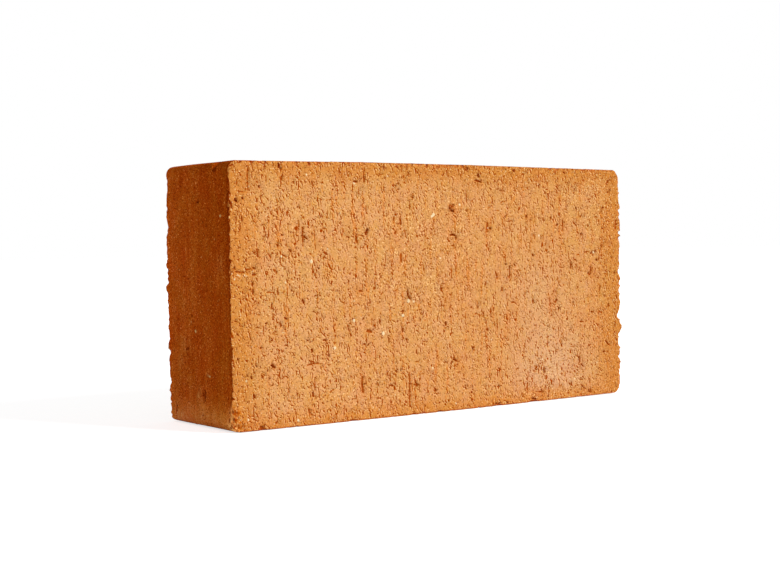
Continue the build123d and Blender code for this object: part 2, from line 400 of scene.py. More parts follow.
def cut_outline(columns, rows, corner):
    """Grid over a cut face: a flat rectangle whose corner squares are bent into quarter discs.

    In a corner square of side r the offsets a and b become a sqrt(1 - b^2 / 2r^2) and
    b sqrt(1 - a^2 / 2r^2), which takes the square's edge to the circle.
    """
    x, z = np.meshgrid(
        np.linspace(-HALF_LENGTH, HALF_LENGTH, columns), np.linspace(0, WIDTH, rows)
    )
    a = np.abs(x) - (HALF_LENGTH - corner)
    b = np.abs(z - HALF_WIDTH) - (HALF_WIDTH - corner)
    a0, b0 = np.maximum(a, 0), np.maximum(b, 0)
    a1 = np.where(a > 0, a * np.sqrt(1 - b0**2 / (2 * corner**2)), a)
    b1 = np.where(b > 0, b * np.sqrt(1 - a0**2 / (2 * corner**2)), b)
    return (
        np.sign(x) * (a1 + HALF_LENGTH - corner),
        HALF_WIDTH + np.sign(z - HALF_WIDTH) * (b1 + HALF_WIDTH - corner),
    )


def rim_of(rows, columns):
    """Indices of a grid's border, once round: bottom, far side, top and near side."""
    grid = np.arange(rows * columns).reshape(rows, columns)
    return np.concatenate((grid[0, :-1], grid[:-1, -1], grid[-1, :0:-1], grid[:0:-1, 0]))


def grid_of(us, vs):
    """The shape of a grid, and its spacing up and across."""
    return (len(vs), len(us)), (vs[1] - vs[0], us[1] - us[0])


def window(us, vs, mid_u, mid_v, reach):
    """The part of a grid within reach of a place, and how far its points are from the place."""
    rows = slice(*np.searchsorted(vs, (mid_v - reach, mid_v + reach)))
    columns = slice(*np.searchsorted(us, (mid_u - reach, mid_u + reach)))
    return (rows, columns), us[None, columns] - mid_u, vs[rows, None] - mid_v


def stamp(us, vs, marks, rough):
    """Depth, lip and shade of dragged marks, on a grid with the places us across and vs up.

    A mark has a middle, a length, a width, a lean, a bend and a depth. On axes turned by its
    lean, s runs along it and t across it, from the parabola t = bend s^2 / 2. With
    r^2 = (2t / width)^2 + (2s / length)^4 the depth is full inside r = 0.5 and none beyond 1.15,
    and a random field moves that edge in and out. The lip is a low hump beside the mark, on the
    side that the clay was pushed to: exp(-((t - w) / 0.3)^2) at w just past its edge. The
    shade is above 0 in a mark, the more the deeper it is, fades from r = 0.4 to 1.05, and is
    below 0 on the lip, where the material paints a highlight.
    """
    depth, lip, shade = np.zeros((3, len(vs), len(us)))
    for mid_u, mid_v, length, width, lean, bend, deep in marks:
        near, du, dv = window(us, vs, mid_u, mid_v, 0.6 * length + width + 0.9)
        turn = math.radians(lean)
        s = dv * math.cos(turn) - du * math.sin(turn)
        t = du * math.cos(turn) + dv * math.sin(turn) - 0.5 * bend * (s**2 - length**2 / 12)
        ends = (2 * s / length) ** 4
        across = np.sqrt((2 * t / width) ** 2 + ends) + EDGE_ROUGHNESS * rough[near]
        full, core = 1 - ease(0.5, 1.15, across), 1 - ease(0.4, 1.05, across)
        pushed = -t if lean > -30 else t
        past_edge = pushed - 0.5 * width - LIP_WIDTH
        hump = np.exp(-((past_edge / LIP_WIDTH) ** 2)) * np.clip(1 - ends, 0, 1)
        depth[near] = np.maximum(depth[near], deep * full)
        lip[near] = np.maximum(lip[near], LIP_HEIGHT * min(1.0, deep) * hump)
        shade[near] = np.maximum(shade[near], core * min(1.0, 0.5 + 0.7 * deep))
    lip = lip * (depth == 0)
    return depth, lip, np.where(depth == 0, -LIP_HIGHLIGHT * lip, shade)


def domes(us, vs, grains, rough):
    """Height of round grains on a grid: 1 - r^2 inside each radius, lower for small grains."""
    height = np.zeros((len(vs), len(us)))
    for mid_u, mid_v, radius in grains:
        near, du, dv = window(us, vs, mid_u, mid_v, 2 * radius)
        away = np.hypot(du, dv) / radius + GRAIN_ROUGHNESS * rough[near]
        dome = np.clip(1 - away**2, 0, 1) * min(1, radius / FULL_GRAIN)
        height[near] = np.maximum(height[near], dome)
    return height


def soft_spots(us, vs, spots):
    """Strength of soft spots on a grid, the strongest of them at each point.

    A spot's strength is multiplied by exp(-(du / half width)^2 - (dv / half height)^2).
    """
    found = np.zeros((len(vs), len(us)))
    for mid_u, mid_v, half_width, half_height, strength in spots:
        across, up = (us[None, :] - mid_u) / half_width, (vs[:, None] - mid_v) / half_height
        found = np.maximum(found, strength * np.exp(-(across**2) - up**2))
    return found.ravel()


def clustered(count, us, vs, reach, seed):
    """Random places on a grid, nearly three times as thick where a random field is high.

    The field has the given reach up and across. The random generator comes back with them.
    """
    draw = np.random.default_rng(seed)
    clump = field(*grid_of(us, vs), reach, seed + 1)
    places = draw.random((4 * count, 2)) * (len(vs) - 1, len(us) - 1)
    i, j = places.astype(int).T
    chance = 0.36 + 0.64 * ease(-0.5, 1.3, clump[i, j])
    kept = np.flatnonzero(draw.random(4 * count) < chance)[:count]
    return us[j[kept]], vs[i[kept]], draw


def scattered_grains(count, us, vs, seed):
    """Grains in random places, with radii of 0.3 to 0.6 mm, most of them small."""
    u, v, draw = clustered(count, us, vs, (12, 12), seed)
    return np.column_stack((u, v, 0.3 + 0.3 * draw.random(len(u)) ** 2))


def scattered_marks(count, us, vs, kinds, seed):
    """Marks in random places, in upright chains.

    Each kind gives its share and the ranges of its sizes. A size is
    low + (high - low) d^RARITY for an even draw d.
    """
    u, v, draw = clustered(count, us, vs, (11, 1.5), seed)
    kinds = np.array(kinds)
    picked = kinds[draw.choice(len(kinds), len(u), p=kinds[:, 0] / kinds[:, 0].sum())].T
    _, shortest, longest, thinnest, widest, lean, spread, bend, curl, shallow, deepest = picked
    ranges = ((shortest, longest), (thinnest, widest), (shallow, deepest))
    length, width, deep = (
        low + (high - low) * draw.random(len(u)) ** RARITY for low, high in ranges
    )
    lean = lean + spread * draw.standard_normal(len(u))
    bend = bend + curl * draw.standard_normal(len(u))
    return np.column_stack((u, v, length, width, lean, bend, deep))


def marks_by_hand():
    """Furrows and tears of the front as whole rows, with their bends.

    A tear across the wire's way, from 1.8 mm long, sags: the most below 3 mm, less below 4.5 mm,
    and hardly beyond. A slanting one, from 2.2 mm long, arches a little. The rest are straight.
    """
    tears = np.array(TEARS)
    length, lean = tears[:, 2], tears[:, 4]
    across = (lean >= 75) & (length >= 1.8)
    slanting = (lean >= 20) & (lean < 75) & (length >= 2.2)
    kinds = (across & (length < 3), across & (length < 4.5), across, slanting)
    bend = np.select(kinds, TEAR_BENDS, 0)
    marks = np.vstack((np.insert(FURROWS, 5, 0, 1), np.insert(tears, 5, bend, 1), BENT_TEARS))
    marks[:, 6] *= HAND_DEPTH
    return marks


def cut_relief(us, vs, seed, count, marks, grains, cut):
    """Relief of a wire-cut face, outwards, with the shade of its hollows and its pale grains.

    The wire drags grit along the face. Broad waves and low plates are random fields, and on
    them lie dragged marks: upright furrows, slanting tears, arcs and pits, drawn at random in
    clusters and joined by those listed, each with the lip that it pushed up.
    """
    grid = grid_of(us, vs)
    wave = field(*grid, (14, 14), seed)
    plate = ease(-0.5, 0.9, field(*grid, (2.4, 1.3), seed + 1, 12))
    rough = field(*grid, (0.35, 0.25), seed + 2)
    drawn = scattered_marks(count, us, vs, CUT_KINDS, seed + 3)
    depth, lip, shade = stamp(us, vs, np.vstack((drawn, *marks)), rough)
    drawn = scattered_grains(cut.grains, us, vs, seed + 4)
    grain = domes(us, vs, np.vstack((drawn, *grains)), rough)
    relief = cut.wave_depth / MM * 0.5 * wave + cut.plate_depth / MM * plate
    relief = relief - cut.mark_depth * (depth - lip) + CUT_GRAIN_HEIGHT * grain
    return relief.ravel(), shade.ravel(), grain.ravel()


def skin_relief(us, vs, seed, marks, grains, skin):
    """Relief of the die-formed skin, unrolled round the brick, with the shade of its hollows.

    Long low waves, shallow blisters where a random field peaks, and open pores and scuffs.
    """
    grid = grid_of(us, vs)
    wave = field(*grid, (10, 10), seed)
    lines = field(*grid, (8, 0.8), seed + 1)
    blister = ease(1.0, 2.4, field(*grid, (1.1, 1.0), seed + 2))
    rough = field(*grid, (0.35, 0.25), seed + 3)
    drawn = scattered_marks(skin.pores, us, vs, SKIN_KINDS, seed + 4)
    depth, lip, shade = stamp(us, vs, np.vstack((drawn, marks)), rough)
    drawn = scattered_grains(skin.grains, us, vs, seed + 5)
    grain = domes(us, vs, np.vstack((drawn, grains)), rough)
    relief = skin.wave_depth / MM * 0.5 * wave + DIE_LINE_HEIGHT * lines + BLISTER_HEIGHT * blister
    relief = relief - depth + lip + SKIN_GRAIN_HEIGHT * grain
    return relief.ravel(), shade.ravel(), grain.ravel()


def dent(points, hollows):
    """Moves the points inside each hollow straight out from its middle to its surface.

    A hollow is an ellipsoid with the given reach along X, Y and Z, so it leaves a smooth chip.
    Also gives how far inside a hollow each point was, from 0 to 1.
    """
    cut = np.zeros(len(points))
    for middle, reach in hollows:
        away = (points - middle) / reach
        near = np.flatnonzero(np.einsum("ij,ij->i", away, away) < 1)
        out = np.linalg.norm(away[near], axis=1, keepdims=True)
        points[near] = middle + away[near] / np.maximum(out, 1e-6) * reach
        cut[near] = np.maximum(cut[near], 1 - out[:, 0])
    return points, cut


def rubble(points):
    """Lumps over the bruised corner: how far each point stands out, and how broken it is.

    With (a, b, c) the place in units of a lump's size, the height is LUMP_HEIGHT times
    sin(a + 1.3 sin 0.7c) sin(1.1b + 1.1 sin 0.6a) + 0.7 sin(0.9c + 0.9 sin 0.8b). It fades
    towards the edge of an ellipsoid round the corner.
    """
    near = ease(1.0, 0.55, np.linalg.norm((points - RUBBLE_MIDDLE) / RUBBLE_REACH, axis=1))
    a, b, c = (points / LUMP_SIZE).T
    lumps = np.sin(a + 1.3 * np.sin(0.7 * c)) * np.sin(1.1 * b + 1.1 * np.sin(0.6 * a))
    lumps += 0.7 * np.sin(0.9 * c + 0.9 * np.sin(0.8 * b))
    return LUMP_HEIGHT * lumps * near, near


def crumbs(draw, place, outward, count, strength):
    """Small hollows at random places along an arris, most of them shallow.

    place holds three ranges for X, Y and Z. A hollow is strength (0.08 + 0.85 d^3) deep for an
    even draw d, and its middle lies outside the arris by its reach less its depth.
    """
    place = np.array(place, float).reshape(3, 2)
    middle = place[:, 0] + (place[:, 1] - place[:, 0]) * draw.random((count, 3))
    reach = draw.uniform(0.7, 2.2, (count, 3))
    deep = (0.08 + 0.85 * draw.random((count, 1)) ** 3) * strength
    outward = np.array(outward) * (1 + 0.3 * draw.standard_normal((count, 3)))
    outward = outward / np.linalg.norm(outward, axis=1, keepdims=True)
    lift = np.maximum(reach.mean(1, keepdims=True) - deep, 0.1)
    return list(zip(middle + outward * lift, reach))


def all_crumbs(seed, raggedness):
    """Crumbs along the eight cut arrises: thickest on the upright ones, fewest along the top."""
    draw = np.random.default_rng(seed)
    found = []
    for side in (-1, 1):
        y = (side * HALF_THICKNESS,) * 2
        for end in (-1, 1):
            x = (end * HALF_LENGTH,) * 2
            z = (2.5, WIDTH - 2.5)
            strength = (0.45 if end == side else 1.0) * raggedness
            found += crumbs(draw, (x, y, z), (end, side, 0), 120, strength)
        x = (3 - HALF_LENGTH, HALF_LENGTH - 3)
        found += crumbs(draw, (x, y, (0, 0)), (0, side, -1), 150, 0.75 * raggedness)
        found += crumbs(draw, (x, y, (WIDTH, WIDTH)), (0, side, 1), 120, 0.40 * raggedness)
    return found


def straying(places, face, seed, wander):
    """How far each upright arris strays outwards, at the height of each place.

    Two arrises follow the profiles that the outline shows, straight between their points. The
    other two follow random fields.
    """
    x, z = places[:, 0], places[:, 2]
    count = 512
    heights = np.linspace(0, WIDTH, count)
    loose = field((2, count), (1, WIDTH / (count - 1)), (0, 1.1), seed) * wander
    far, near = (np.interp(z, heights, row) for row in loose)
    shown = [np.interp(z, *np.array(arris).T) for arris in (FRONT_FAR_ARRIS, BACK_NEAR_ARRIS)]
    return np.select([(x > 0) & (face < 0), (x < 0) & (face > 0), x > 0], [*shown, far], near)


def brick_skin(body, cut, skin):
    """The closed skin of the brick: points in millimetres, quads, and the marks of each point.

    Two grids lie over the cut faces and one runs round the die-formed skin between their
    borders, so every border point is shared. A point's place is the rounded block, plus its
    relief along the outward direction, which fades out at the arrises, plus a slow wander
    of the upright arrises, less the hollows that chips and bites leave.
    """
    spacing = body.grid_spacing / MM
    corner = body.die_corner_radius / MM
    columns, rows = (int(round(side / spacing)) + 1 for side in (LENGTH, WIDTH))
    layers = int(round(THICKNESS / (LAYER_SPACING * spacing))) + 1
    x, z = cut_outline(columns, rows, corner)
    us, vs = np.linspace(-HALF_LENGTH, HALF_LENGTH, columns), np.linspace(0, WIDTH, rows)
    front = cut_relief(us, vs, body.seed, cut.marks, [marks_by_hand()], [PALE_GRAINS], cut)
    back = cut_relief(us, vs, body.seed + 100, int(BACK_SHARE * cut.marks), [], [], cut)

    # The skin is unrolled from the foot of the -X end, so its header is the last stretch.
    rim = rim_of(rows, columns)
    round_trip = 2 * (LENGTH + WIDTH)
    us_band = np.arange(len(rim)) * (round_trip / len(rim))
    vs_band = np.linspace(-HALF_THICKNESS, HALF_THICKNESS, layers)
    pits, grains, humps = (
        unrolled(table, round_trip) for table in (HEADER_PITS, HEADER_GRAINS, HEADER_SWELLINGS)
    )
    pits[:, 4] += 90
    relief, shade, grain = skin_relief(us_band, vs_band, body.seed + 200, pits, grains, skin)
    humps[:, 2] /= SWELLING_REACH
    swelling = soft_spots(us_band, vs_band, humps[:, (0, 1, 2, 2, 3)])
    scuffed = np.minimum(SCUFFING * swelling, 1) * (shade < 0.02)
    band = relief + swelling, shade, grain
    x_band, z_band = (np.tile(grid.ravel()[rim], layers) for grid in (x, z))

    inner = slice(len(rim), -len(rim))
    count = rows * columns
    flat = [
        np.column_stack((x.ravel(), np.full(count, y), z.ravel()))
        for y in (-HALF_THICKNESS, HALF_THICKNESS)
    ]
    wall = np.column_stack((x_band, np.repeat(vs_band, len(rim)), z_band))[inner]
    places = np.concatenate((*flat, wall))
    relief, shade, grain = (np.concatenate((front[k], back[k], band[k][inner])) for k in range(3))

    inside, nx, nz = outline(places[:, 0], places[:, 2], corner)
    inside = np.maximum(inside, 0)
    below = HALF_THICKNESS - np.abs(places[:, 1])
    face = np.sign(places[:, 1])
    on_cut = np.arange(len(places)) < 2 * count

    out = relief * ease(0, RELIEF_FADE, np.where(on_cut, inside, below))
    sideways = np.where(on_cut, 0, out)
    offset = np.column_stack((nx * sideways, np.where(on_cut, face * out, 0), nz * sideways))

    arris = body.arris_radius / MM
    past_side, past_cut = np.maximum(arris - inside, 0), np.maximum(arris - below, 0)
    past = np.hypot(past_side, past_cut)
    trim = np.where(past > arris, 1 - arris / np.maximum(past, 1e-9), 0)
    offset -= np.column_stack((nx * past_side, face * past_cut, nz * past_side)) * trim[:, None]

    stray = straying(places, face, body.seed + 300, body.arris_wander / MM)
    fading = np.exp(-(inside + below) / STRAY_FADE) / STRAY_LEFT
    offset[:, 0] += nx * stray * fading * (np.abs(nx) > 0.5)

    along, share = places[:, 0] / HALF_LENGTH, places[:, 2] / WIDTH
    lift = body.top_lift + body.top_bow * (1 - along**2) - body.top_slope * along
    rise = body.foot_rise * along**2 * np.where(along > 0, FAR_RISE, NEAR_RISE)
    offset[:, 2] += (share * lift + (1 - share) * rise) / MM

    near_foot = (along < 0) & (share < 0.5)
    fullness = np.select([near_foot, along > 0], [NEAR_FOOT_FULLNESS, FAR_END_FULLNESS], 0)
    fullness = fullness * (2 * np.abs(nx * nz)) ** 1.5 * np.exp(-inside / 2)
    offset[:, 0] += nx * fullness
    offset[:, 2] += nz * fullness

    points, chipped = dent(places + offset, CHIPS)
    points, bitten = dent(points, BITES)
    lumps, bruised = rubble(points)
    points += lumps[:, None] * LUMP_PUSH
    edge = np.flatnonzero((inside < 3) & (below < 3))
    points[edge], _ = dent(points[edge], all_crumbs(body.seed + 400, body.raggedness))
    points[:, 2] = np.maximum(points[:, 2], 0)

    on_front = soft_spots(us, vs, STAINS)
    marked = {
        # The shade attribute also paints shade into the bites and into the troughs between the
        # rubble's lumps.
        "shade": np.maximum.reduce(
            (shade, 0.5 * ease(0, 0.2, bitten), 0.6 * bruised * ease(0.02, -0.2, lumps))
        ),
        "grain": grain,
        "broken": np.maximum.reduce(
            (ease(0, 0.15, chipped), np.append(np.zeros(2 * count), scuffed[inner]), bruised)
        ),
        "stained": np.append(on_front, np.zeros(len(places) - count)),
    }
    return points, quads_of(rows, columns, layers, rim), marked


def unrolled(marks, round_trip):
    """Marks on the -X header, with their y and z turned into places on the unrolled skin."""
    found = np.array(marks, float)
    found[:, 0], found[:, 1] = round_trip - found[:, 1], found[:, 0].copy()
    return found


def quads_of(rows, columns, layers, rim):
    """Four corners of every face, counted so that each face points outwards."""
    grid = np.arange(rows * columns).reshape(rows, columns)
    front = np.stack((grid[:-1, :-1], grid[:-1, 1:], grid[1:, 1:], grid[1:, :-1]), axis=-1)
    back = front[..., ::-1] + rows * columns
    middle = np.arange((layers - 2) * len(rim)).reshape(layers - 2, len(rim))
    band = np.vstack((rim, 2 * rows * columns + middle, rim + rows * columns))
    following = np.roll(band, -1, axis=1)
    wall = np.stack((band[:-1], band[1:], following[1:], following[:-1]), axis=-1)
    return np.concatenate([part.reshape(-1, 4) for part in (front, back, wall)])


def mesh_from(points, faces, attributes):
    """A mesh from whole arrays, with one float attribute on the points for each name given."""
    mesh = bpy.data.meshes.new("unthinned")
    mesh.vertices.add(len(points))
    mesh.vertices.foreach_set("co", (points * MM).astype(np.float32).ravel())
    mesh.loops.add(faces.size)
    mesh.loops.foreach_set("vertex_index", faces.astype(np.int32).ravel())
    mesh.polygons.add(len(faces))
    mesh.polygons.foreach_set("loop_start", np.arange(0, faces.size, 4, dtype=np.int32))
    mesh.update(calc_edges=True)
    for key, values in attributes.items():
        made = mesh.attributes.new(key, "FLOAT", "POINT")
        made.data.foreach_set("value", values.astype(np.float32))
    return mesh


def thinned(mesh, most):
    """The mesh with its flat places drawn in fewer triangles, so that hollows keep their detail."""
    raw = bpy.data.objects.new("unthinned", mesh)
    bpy.context.scene.collection.objects.link(raw)
    fewer = raw.modifiers.new("thin the flats", "DECIMATE")
    fewer.ratio = most / (2 * len(mesh.polygons))
    graph = bpy.context.evaluated_depsgraph_get()
    result = bpy.data.meshes.new_from_object(raw.evaluated_get(graph))
    bpy.data.objects.remove(raw)
    bpy.data.meshes.remove(mesh)
    return result


def array_of(owner, key, width, kind=np.float32):
    """A collection's values as one array with the given width."""
    values = np.empty(len(owner) * width, kind)
    owner.foreach_get(key, values)
    return values.reshape(-1, width) if width > 1 else values


def add_map_and_faces(mesh, corner):
    """Adds the brick's own map, and marks the faces of the die-formed skin.

    A face belongs to the side of the block that its middle lies nearest to. On the arrises of
    the cut faces its direction decides, so that crumbled edges show the skin. Each side is
    projected flat into its own strip of the map: the cut faces, then the stretchers, then the
    two headers side by side.
    """
    points = array_of(mesh.vertices, "co", 3) / MM
    middles = array_of(mesh.polygons, "center", 3) / MM
    loops = array_of(mesh.loops, "vertex_index", 1, np.int32)
    totals = array_of(mesh.polygons, "loop_total", 1, np.int32)
    normals = array_of(mesh.polygons, "normal", 3)
    from_middle = middles - (0, 0, HALF_WIDTH)
    gap = np.abs(from_middle) - (HALF_LENGTH, HALF_THICKNESS, HALF_WIDTH)
    inside, _, _ = outline(middles[:, 0], middles[:, 2], corner)
    at_arris = (inside < ARRIS_BAND) & (gap[:, 1] > -ARRIS_BAND)
    faces_out = SIDEWAYS * np.hypot(normals[:, 0], normals[:, 2]) < np.abs(normals[:, 1])
    cut = np.where(at_arris, faces_out, gap[:, 1] > -inside)
    side = np.where(cut, 1, np.where(gap[:, 0] > gap[:, 2], 0, 2))
    signs = np.sign(from_middle)[np.arange(len(side)), side]

    at = points[loops]
    side_at, second = np.repeat(side, totals), np.repeat(signs, totals) > 0
    sides = [side_at == 1, side_at == 2, side_at == 0]
    bottom = np.select(
        sides,
        [
            np.where(second, WIDTH, 0),
            2 * WIDTH + np.where(second, THICKNESS, 0),
            2 * WIDTH + 2 * THICKNESS,
        ],
    )
    start = np.where((side_at == 0) & second, WIDTH, 0)
    along = np.where(side_at == 0, at[:, 2] + start, at[:, 0] + HALF_LENGTH)
    up = np.where(side_at == 1, at[:, 2], at[:, 1] + HALF_THICKNESS)
    middle_u = start + np.where(side_at == 0, WIDTH, LENGTH) / 2
    middle_v = np.where(side_at == 1, WIDTH, THICKNESS) / 2
    u = (middle_u + (along - middle_u) * STRIP_FILL) / LENGTH
    v = (bottom + middle_v + (up - middle_v) * STRIP_FILL) / (2 * WIDTH + 3 * THICKNESS)
    layer = mesh.uv_layers.new(name="OFBake")
    layer.uv.foreach_set("vector", np.column_stack((u, v)).astype(np.float32).ravel())
    die_skin = mesh.attributes.new("die_skin", "FLOAT", "FACE")
    die_skin.data.foreach_set("value", (side != 1).astype(np.float32))
    mesh.polygons.foreach_set("use_smooth", np.ones(len(mesh.polygons), bool))
    mesh.update()


class NodeSheet:
    """Adds shader nodes and links them, so that a material reads as a list of steps."""

    def __init__(self, owner):
        self.owner = owner
        owner.use_nodes = True
        self.tree = owner.node_tree
        self.tree.nodes.clear()

    def put(self, socket, value):
        if isinstance(value, bpy.types.NodeSocket):
            self.tree.links.new(value, socket)
        else:
            socket.default_value = value

    def add(self, kind, inputs=None, **settings):
        node = self.tree.nodes.new(kind)
        for key, value in settings.items():
            setattr(node, key, value)
        for key, value in (inputs or {}).items():
            self.put(node.inputs[key], value)
        return node

    def math(self, operation, total, *values):
        """Each further value taken into the first. With none, the operation of the first alone."""
        for value in values or (0.0,):
            node = self.add("ShaderNodeMath", {0: total, 1: value}, operation=operation)
            total = node.outputs[0]
        return total

    def times(self, *values):
        return self.math("MULTIPLY", *values)

    def plus(self, *values):
        return self.math("ADD", *values)

    def less(self, *values):
        return self.math("SUBTRACT", *values)

    def most(self, *values):
        return self.math("MAXIMUM", *values)

    def vector(self, operation, first, second=(0, 0, 0)):
        node = self.add("ShaderNodeVectorMath", {0: first, 1: second}, operation=operation)
        return node.outputs["Value" if operation in ("DISTANCE", "LENGTH") else "Vector"]

    def ramp(self, value, low, high, out_low=0.0, out_high=1.0):
        """Smooth step from out_low to out_high as the value goes from low to high."""
        ends = {"From Min": low, "From Max": high, "To Min": out_low, "To Max": out_high}
        kind = "ShaderNodeMapRange"
        return self.add(kind, {"Value": value, **ends}, interpolation_type="SMOOTHSTEP").outputs[0]

    def mix(self, amount, first, second, blend="MIX"):
        node = self.add("ShaderNodeMix", data_type="RGBA", blend_type=blend)
        for key, value in (("Factor_Float", amount), ("A_Color", first), ("B_Color", second)):
            self.put(next(s for s in node.inputs if s.identifier == key), value)
        return next(s for s in node.outputs if s.identifier == "Result_Color")

    def noise(self, place, cell, detail, lean, roughness, curl):
        """Noise with cells of the given size in millimetres, their tops leaning towards -X.

        The curl bends the cells, by that share of their size.
        """
        size = [side * MM for side in cell]
        turn = (0, -math.radians(lean), 0)
        cells = {"Vector": place, "Rotation": turn, "Scale": size}
        mapping = self.add("ShaderNodeMapping", cells, vector_type="TEXTURE")
        look = {"Scale": 1.0, "Detail": detail, "Roughness": roughness, "Distortion": curl}
        return self.add("ShaderNodeTexNoise", {"Vector": mapping.outputs[0], **look}).outputs["Fac"]

    def rgb(self, red, green, blue):
        parts = {"Red": red, "Green": green, "Blue": blue}
        return self.add("ShaderNodeCombineColor", parts).outputs[0]

    def toned(self, colour, tone, powers):
        """The colour lightened or darkened by a tone about 1, whose powers give green and blue.

        Clay that darkens turns redder, because green and blue fall faster than red.
        """
        green, blue = (self.math("POWER", tone, power) for power in powers)
        return self.mix(1.0, colour, self.rgb(tone, green, blue), "MULTIPLY")

    def seen(self):
        """1 where lens, mirror or glass sees, and 0 for light that falls on other things."""
        path = self.add("ShaderNodeLightPath").outputs
        return self.plus(path["Is Camera Ray"], path["Is Glossy Ray"], path["Is Transmission Ray"])


def rgba(colour):
    """A property's colour with its alpha."""
    return (*colour[:3], 1.0)


def clay_patterns(sheet):
    """Everything that the clay's colour and bump are made from, by name.

    The marks on the mesh, the noises, the distances from the brick's sides, which wobble by up
    to 3 mm, and the fine marks: dashes and slants where the drag noises gather them, and the
    thin lines where another noise is near its middle.
    """
    place = sheet.add("ShaderNodeTexCoord").outputs["Object"]
    clay = SimpleNamespace(place=place)
    for name in ("shade", "grain", "stained", "broken", "die_skin"):
        value = sheet.add("ShaderNodeAttribute", attribute_name=name).outputs["Fac"]
        setattr(clay, name, value)
    for name, noise in NOISES.items():
        setattr(clay, name, sheet.noise(place, *noise))
    beside = sheet.vector("ADD", place, BESIDE)
    clay.beside = [sheet.noise(beside, *NOISES[name]) for name in ("dashes", "slants")]

    apart = sheet.add("ShaderNodeSeparateXYZ", {"Vector": place}).outputs
    clay.x, clay.y, clay.z = (apart[axis] for axis in "XYZ")
    clay.wobble = sheet.times(sheet.less(clay.patches, 0.5), 12 * MM)
    clay.off_middle = sheet.plus(sheet.math("ABSOLUTE", clay.x), clay.wobble)
    clay.level = sheet.plus(clay.z, clay.wobble)

    shares = sheet.times(clay.streaks, STREAK_SHARE), sheet.times(clay.patches, PATCH_SHARE)
    clay.dragged = sheet.less(sheet.plus(*shares), DRAG_MEAN)
    from_line = sheet.math("ABSOLUTE", sheet.less(clay.curls, 0.5))
    worm = sheet.times(
        sheet.ramp(from_line, 0.006, 0.018, 1.0, 0.0), sheet.ramp(clay.mottle, 0.47, 0.56)
    )
    pits = sheet.ramp(clay.flecks, 0.244, 0.276, 1.0, 0.0)
    clay.fine = sheet.most(fine_marks(sheet, clay, FINE_MARKS), worm, pits)
    clay.edge = sheet.times(sheet.less(clay.sand, 0.5), 1.3)
    clay.hollow = sheet.ramp(sheet.plus(clay.shade, clay.edge), 0.27, 0.52, 0.0, 0.82)
    return clay


def fine_marks(sheet, clay, ramps, places=None):
    """Where dashes or slants, gathered by the drag, pass their ramps."""
    noises = places or (clay.dashes, clay.slants)
    return sheet.most(
        *(sheet.ramp(sheet.plus(noise, clay.dragged), *ramp) for noise, ramp in zip(noises, ramps))
    )


def cut_colour(sheet, clay, colours):
    """Sandy and pink patches, blooms and a deeper border, then stains, flecks and painted
    highlights on lips, and dark marks, partly painted shade.
    """
    patch = sheet.ramp(clay.patches, 0.36, 0.64)
    colour = sheet.mix(patch, rgba(colours.cut_sandy), rgba(colours.cut_pink))
    streak = sheet.ramp(clay.streaks, 0.55, 0.72, 0.0, 0.56)
    colour = sheet.mix(streak, colour, rgba(colours.stain))
    for middle, reach, start, strength in BLOOMS:
        away = sheet.plus(sheet.vector("DISTANCE", clay.place, middle), clay.wobble)
        bloom = sheet.ramp(away, start, reach, strength, 0.0)
        colour = sheet.mix(bloom, colour, rgba(colours.cut_bloom))
    at_ends = sheet.ramp(clay.off_middle, (HALF_LENGTH - 18) * MM, (HALF_LENGTH - 3) * MM)
    at_top = sheet.ramp(clay.level, (WIDTH - 9) * MM, (WIDTH - 1) * MM)
    at_foot = sheet.ramp(clay.level, 0.0, 8 * MM, 1.0, 0.0)
    border = sheet.times(sheet.most(at_ends, at_top, at_foot), 0.88)
    colour = sheet.mix(border, colour, rgba(colours.cut_orange))

    around = sheet.plus(sheet.most(clay.shade, sheet.times(clay.fine, 0.4)), clay.edge)
    stain = sheet.most(
        sheet.ramp(around, 0.04, 0.40, 0.0, 0.58),
        sheet.times(clay.broken, sheet.ramp(clay.mottle, 0.42, 0.56, 1.0, 0.2)),
        sheet.times(clay.stained, sheet.ramp(clay.mottle, 0.34, 0.60, 0.25, 0.80)),
        fine_marks(sheet, clay, FINE_STAINS),
    )
    colour = sheet.mix(stain, colour, rgba(colours.stain))
    tone = sheet.times(
        sheet.ramp(clay.sand, 0.28, 0.72, 0.92, 1.075),
        sheet.ramp(clay.mottle, 0.28, 0.72, 0.97, 1.03),
        sheet.ramp(clay.threads, 0.68, 0.80, 1.0, 0.92),
        sheet.ramp(clay.x, -0.9 * HALF_LENGTH * MM, HALF_LENGTH * MM, 1.035, 0.965),
        sheet.ramp(clay.off_middle, (HALF_LENGTH - 18) * MM, HALF_LENGTH * MM, 1.0, 0.97),
        sheet.ramp(clay.level, (WIDTH - 18) * MM, WIDTH * MM, 1.0, 0.95),
    )
    colour = sheet.toned(colour, tone, CUT_POWERS)
    # The sand's own pale flecks, and painted highlights on the lips of marks and beside the fine
    # strokes, where their walls face the lamp.
    lit = sheet.most(
        sheet.ramp(clay.flecks, 0.712, 0.745),
        sheet.ramp(clay.shade, -0.55, -0.10, 0.75, 0.0),
        fine_marks(sheet, clay, FINE_HIGHLIGHTS, clay.beside),
    )
    colour = sheet.mix(lit, colour, rgba(colours.cut_fleck_and_highlight))
    # Dark marks: darker clay inside furrows, tears, pits and fine strokes, together with the shade
    # painted in them.
    return sheet.mix(sheet.most(clay.hollow, clay.fine), colour, rgba(colours.hollow))


